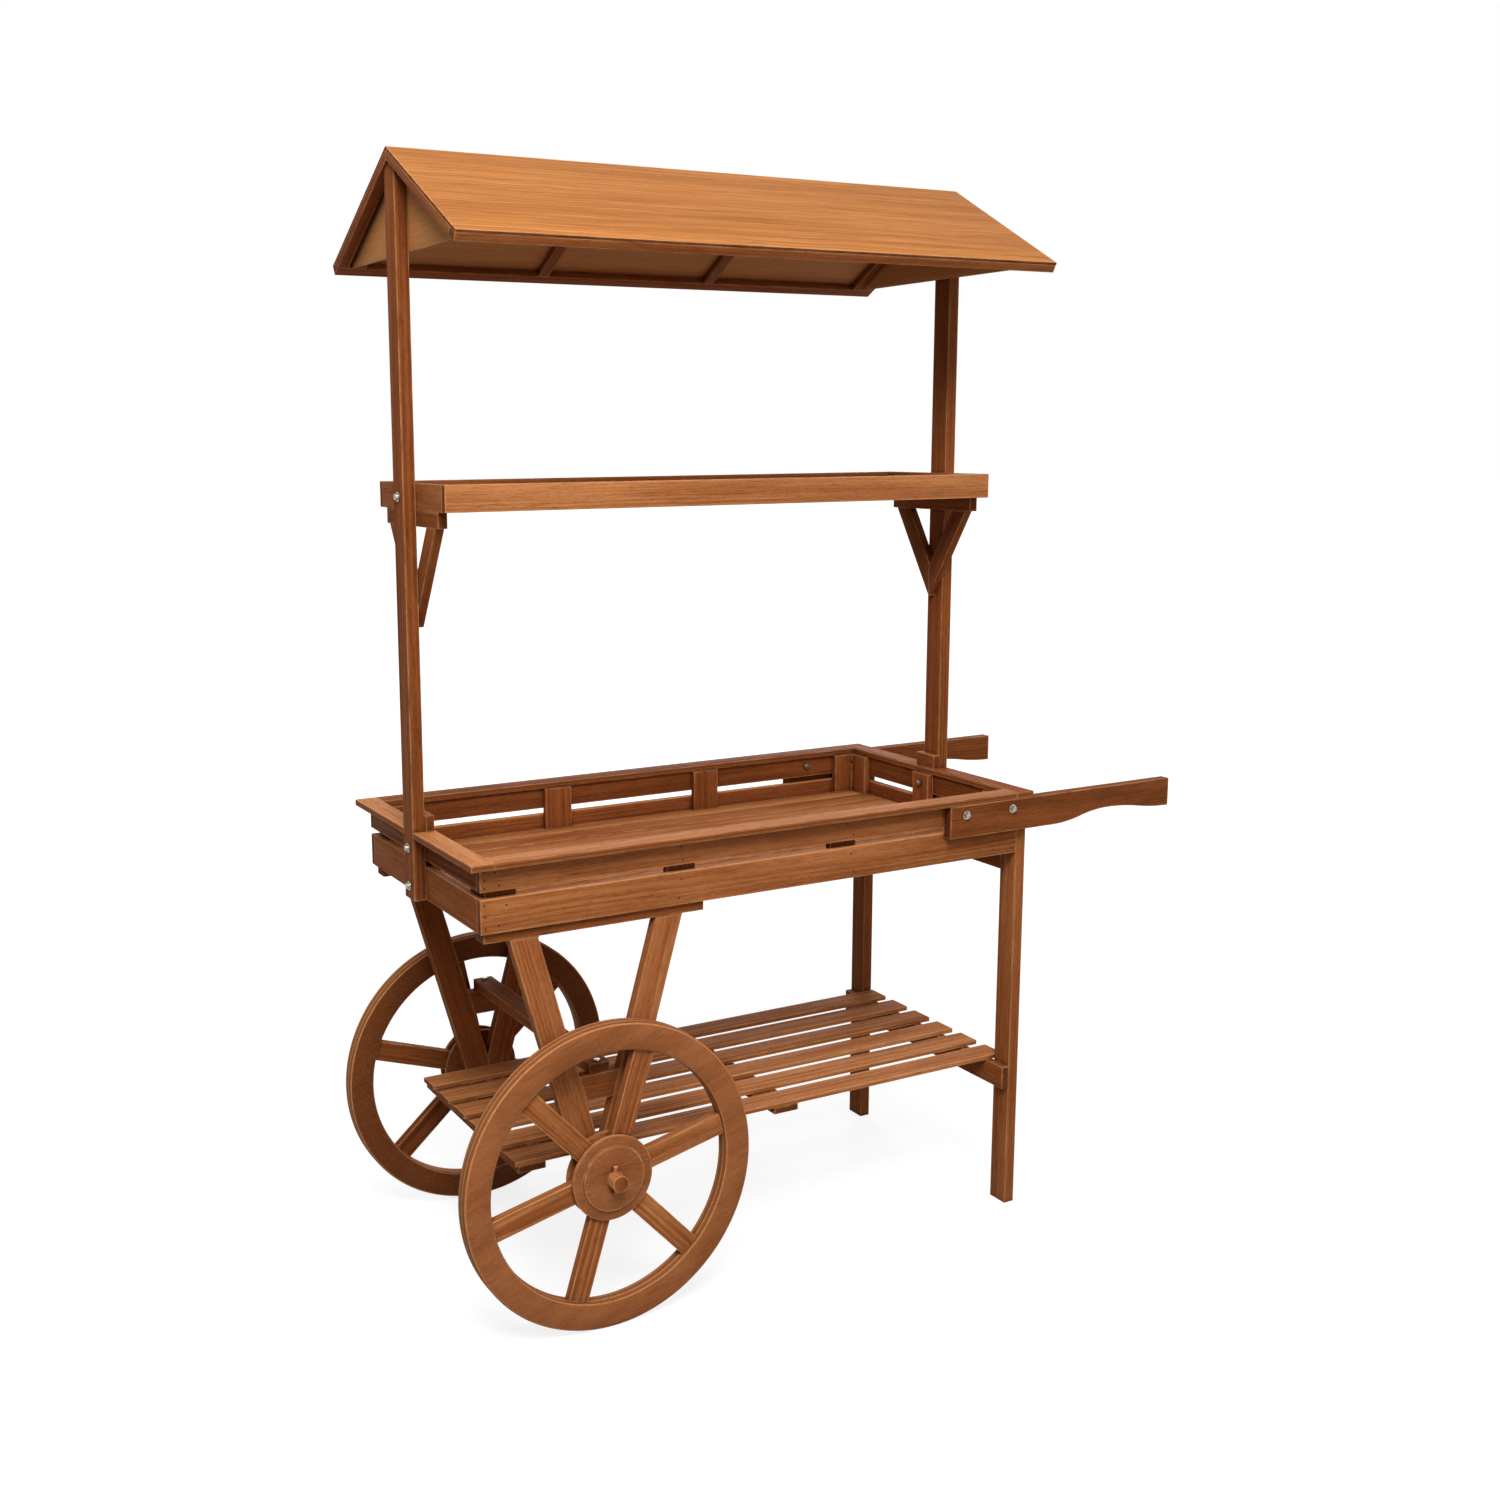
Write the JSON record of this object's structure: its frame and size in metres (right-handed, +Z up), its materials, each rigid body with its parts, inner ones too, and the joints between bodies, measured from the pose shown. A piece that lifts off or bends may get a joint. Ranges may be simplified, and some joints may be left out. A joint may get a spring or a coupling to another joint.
{
  "type": "flower cart stand",
  "caption": "Wooden flower cart stand: a slatted tray on two spoked wheels and two legs, with handles, a low shelf, a raised shelf and a small pitched roof.",
  "frame": {"origin": "on the floor, under the middle of the whole cart", "axes": "+X along the cart from the wheel end to the handles, +Y across it to the rear side, +Z up"},
  "size_m": [1.3699, 0.592, 1.76],
  "materials": {
    "stained_timber": "satin orange-brown stain",
    "roof_board": "satin orange-brown stain, lighter",
    "wheel_board": "satin orange-brown stain",
    "pale_round_wood": "satin stain over turned wood",
    "bolt_steel": "dull galvanised"
  },
  "bodies": {
    "cart": {"axle": "pale_round_wood", "axle_cross_bar_front": "stained_timber", "axle_cross_bar_rear": "stained_timber", "axle_pegs": "pale_round_wood", "axle_stretcher": "stained_timber", "axle_strut_front_handle_end": "stained_timber", "axle_strut_front_wheel_end": "stained_timber", "axle_strut_rear_handle_end": "stained_timber", "axle_strut_rear_wheel_end": "stained_timber", "bolts_and_screws": "bolt_steel", "bracket_bars": "stained_timber", "bracket_braces": "stained_timber", "gable_panel_handle_end": "roof_board", "gable_panel_wheel_end": "roof_board", "handle_front": "stained_timber", "handle_rear": "stained_timber", "leg_front": "stained_timber", "leg_low_rail": "stained_timber", "leg_rear": "stained_timber", "leg_top_rail": "stained_timber", "low_shelf_bearers": "stained_timber", "low_shelf_slats": "stained_timber", "planter_board_front": "stained_timber", "planter_board_handle_end": "stained_timber", "planter_board_rear": "stained_timber", "planter_board_wheel_end": "stained_timber", "planter_floor": "stained_timber", "post_cleats": "stained_timber", "post_handle_end": "stained_timber", "post_wheel_end": "stained_timber", "roof_eave_battens": "stained_timber", "roof_panel_front": "roof_board", "roof_panel_rear": "roof_board", "roof_rafters": "stained_timber", "roof_ridge_beam": "stained_timber", "side_beam_front": "stained_timber", "side_beam_rear": "stained_timber", "tray_battens": "stained_timber", "tray_floor_bearers": "stained_timber", "tray_floor_slats": "stained_timber", "tray_lower_board_front": "stained_timber", "tray_lower_board_handle_end": "stained_timber", "tray_lower_board_rear": "stained_timber", "tray_lower_board_wheel_end": "stained_timber", "tray_rim_front": "stained_timber", "tray_rim_handle_end": "stained_timber", "tray_rim_rear": "stained_timber", "tray_rim_wheel_end": "stained_timber", "tray_upper_board_front": "stained_timber", "tray_upper_board_handle_end": "stained_timber", "tray_upper_board_rear": "stained_timber", "tray_upper_board_wheel_end": "stained_timber"},
    "wheel_front": {"wheel_rim_front": "wheel_board", "wheel_spokes_front": "wheel_board", "wheel_hub_inner_front": "wheel_board", "wheel_hub_outer_front": "wheel_board"},
    "wheel_rear": {"wheel_rim_rear": "wheel_board", "wheel_spokes_rear": "wheel_board", "wheel_hub_inner_rear": "wheel_board", "wheel_hub_outer_rear": "wheel_board"}
  },
  "joints": [
    {"name": "front_wheel_spin", "type": "hinge", "parent": "cart", "child": "wheel_front", "pos_m": [-0.443, -0.257, 0.242], "axis": [0, 1, 0], "continuous": true},
    {"name": "rear_wheel_spin", "type": "hinge", "parent": "cart", "child": "wheel_rear", "pos_m": [-0.443, 0.257, 0.242], "axis": [0, 1, 0], "continuous": true}
  ]
}
